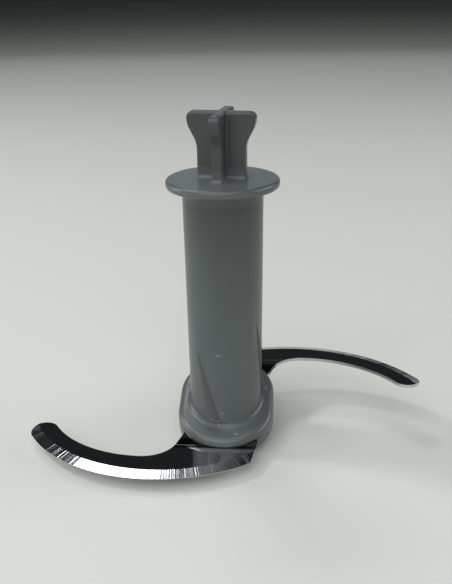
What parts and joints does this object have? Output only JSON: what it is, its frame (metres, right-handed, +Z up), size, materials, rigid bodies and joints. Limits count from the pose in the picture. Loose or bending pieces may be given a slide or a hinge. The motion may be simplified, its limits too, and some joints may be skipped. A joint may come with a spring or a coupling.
{
  "type": "stick blender chopper bowl blade",
  "caption": "Two-wing curved steel chopping blade moulded into a tall plastic hub with a flanged, flared-vane drive coupling on top and a blind spindle bore below.",
  "frame": {"origin": "centre of the foot, on the axis of rotation", "axes": "+Z up the axis of rotation towards the drive coupling; +X towards the high wing's tip side, -X towards the low wing's; -Y is the front"},
  "size_m": [0.1258, 0.064, 0.1052],
  "materials": {
    "hub_plastic": "satin blue-grey moulded plastic",
    "blade_steel": "mirror-polished stainless sheet with a ground bevel, marked across the edge"
  },
  "bodies": {
    "root": {"hub": "hub_plastic", "blade": "blade_steel"}
  },
  "joints": []
}
